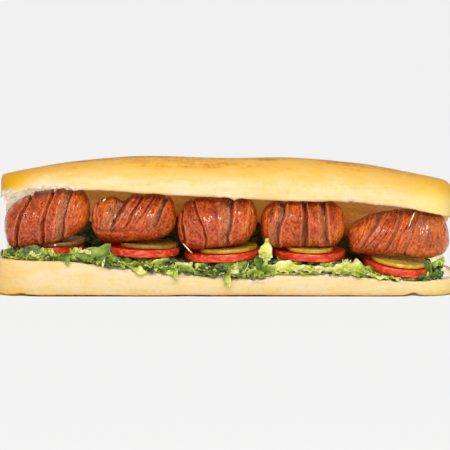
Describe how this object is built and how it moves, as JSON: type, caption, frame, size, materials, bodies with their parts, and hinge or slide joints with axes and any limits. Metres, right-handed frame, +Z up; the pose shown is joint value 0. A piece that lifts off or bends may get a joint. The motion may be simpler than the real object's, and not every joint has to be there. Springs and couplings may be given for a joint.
{
  "type": "sausage sandwich",
  "caption": "Long soft roll cut along its front and hinged at its back, filled with short scored grilled sausages, tomato slices, pickle slices and shredded lettuce.",
  "frame": {"origin": "middle of the roll's length and depth, on the surface it rests on", "axes": "+X along the roll, +Y from the open front to the hinged back, +Z up"},
  "size_m": [0.312, 0.0746, 0.0889],
  "materials": {
    "roll": "soft baked crust, golden above and pale cream on the sides",
    "lettuce": "crisp shredded leaf",
    "tomato": "wet sliced tomato",
    "pickle": "wet sliced pickle",
    "sausage": "grilled skin with a thin film of fat"
  },
  "bodies": {
    "root": {"roll": "roll", "lettuce": "lettuce", "tomato_1": "tomato", "tomato_2": "tomato", "tomato_3": "tomato", "tomato_4": "tomato", "tomato_5": "tomato", "pickle_1": "pickle", "pickle_2": "pickle", "pickle_3": "pickle", "pickle_4": "pickle", "pickle_5": "pickle", "sausage_1": "sausage", "sausage_2": "sausage", "sausage_3": "sausage", "sausage_4": "sausage", "sausage_5": "sausage"}
  },
  "joints": []
}
